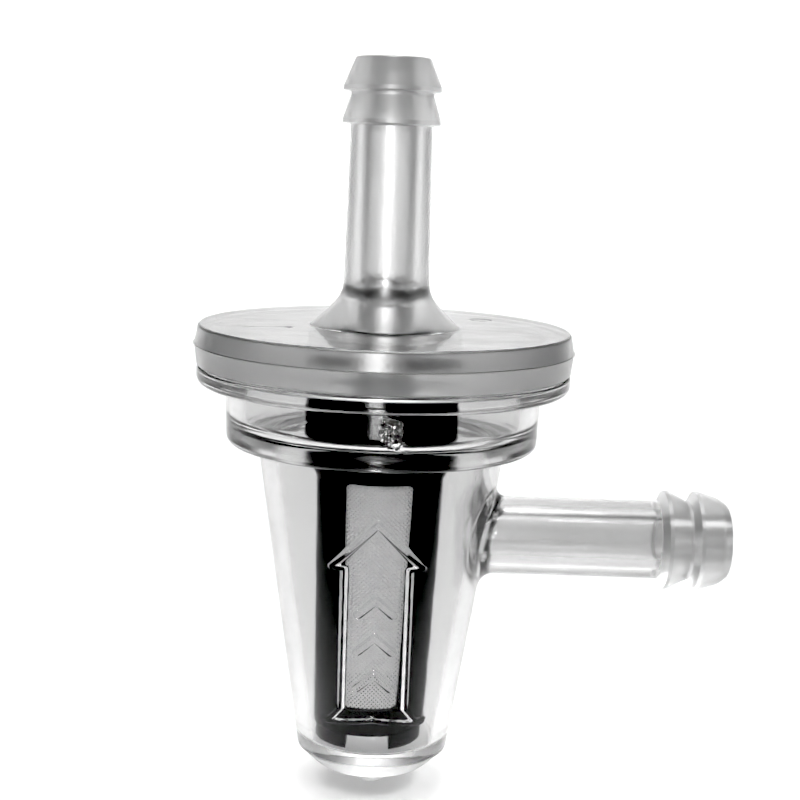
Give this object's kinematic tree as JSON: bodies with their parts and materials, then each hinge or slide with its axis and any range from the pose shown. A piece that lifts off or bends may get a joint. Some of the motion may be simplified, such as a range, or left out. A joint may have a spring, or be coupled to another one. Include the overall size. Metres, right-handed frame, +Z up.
{
  "type": "in-line fuel filter",
  "caption": "Clear welded fuel filter with a right-angle inlet hose barb, a straight outlet hose barb and a cloth strainer inside.",
  "frame": {"origin": "centre of the flat ring under the bowl, on the main axis", "axes": "+Z up the main axis towards the outlet mouth, +X along the inlet barb towards its mouth, the flow arrow faces -Y"},
  "size_m": [0.0415, 0.0288, 0.0562],
  "materials": {
    "clear_cap": "clear moulded nylon, glossy, a little rough round the rim",
    "clear_bowl": "clear moulded nylon, glossy",
    "weld": "clear plastic melted in the weld, slightly cloudy",
    "black_frame": "black moulded plastic, satin",
    "filter_cloth": "fine woven nylon filter cloth, off-white"
  },
  "bodies": {
    "root": {"cap": "clear_cap", "bowl": "clear_bowl", "weld_bead": "weld", "strainer_frame": "black_frame", "strainer_mesh": "filter_cloth"}
  },
  "joints": []
}
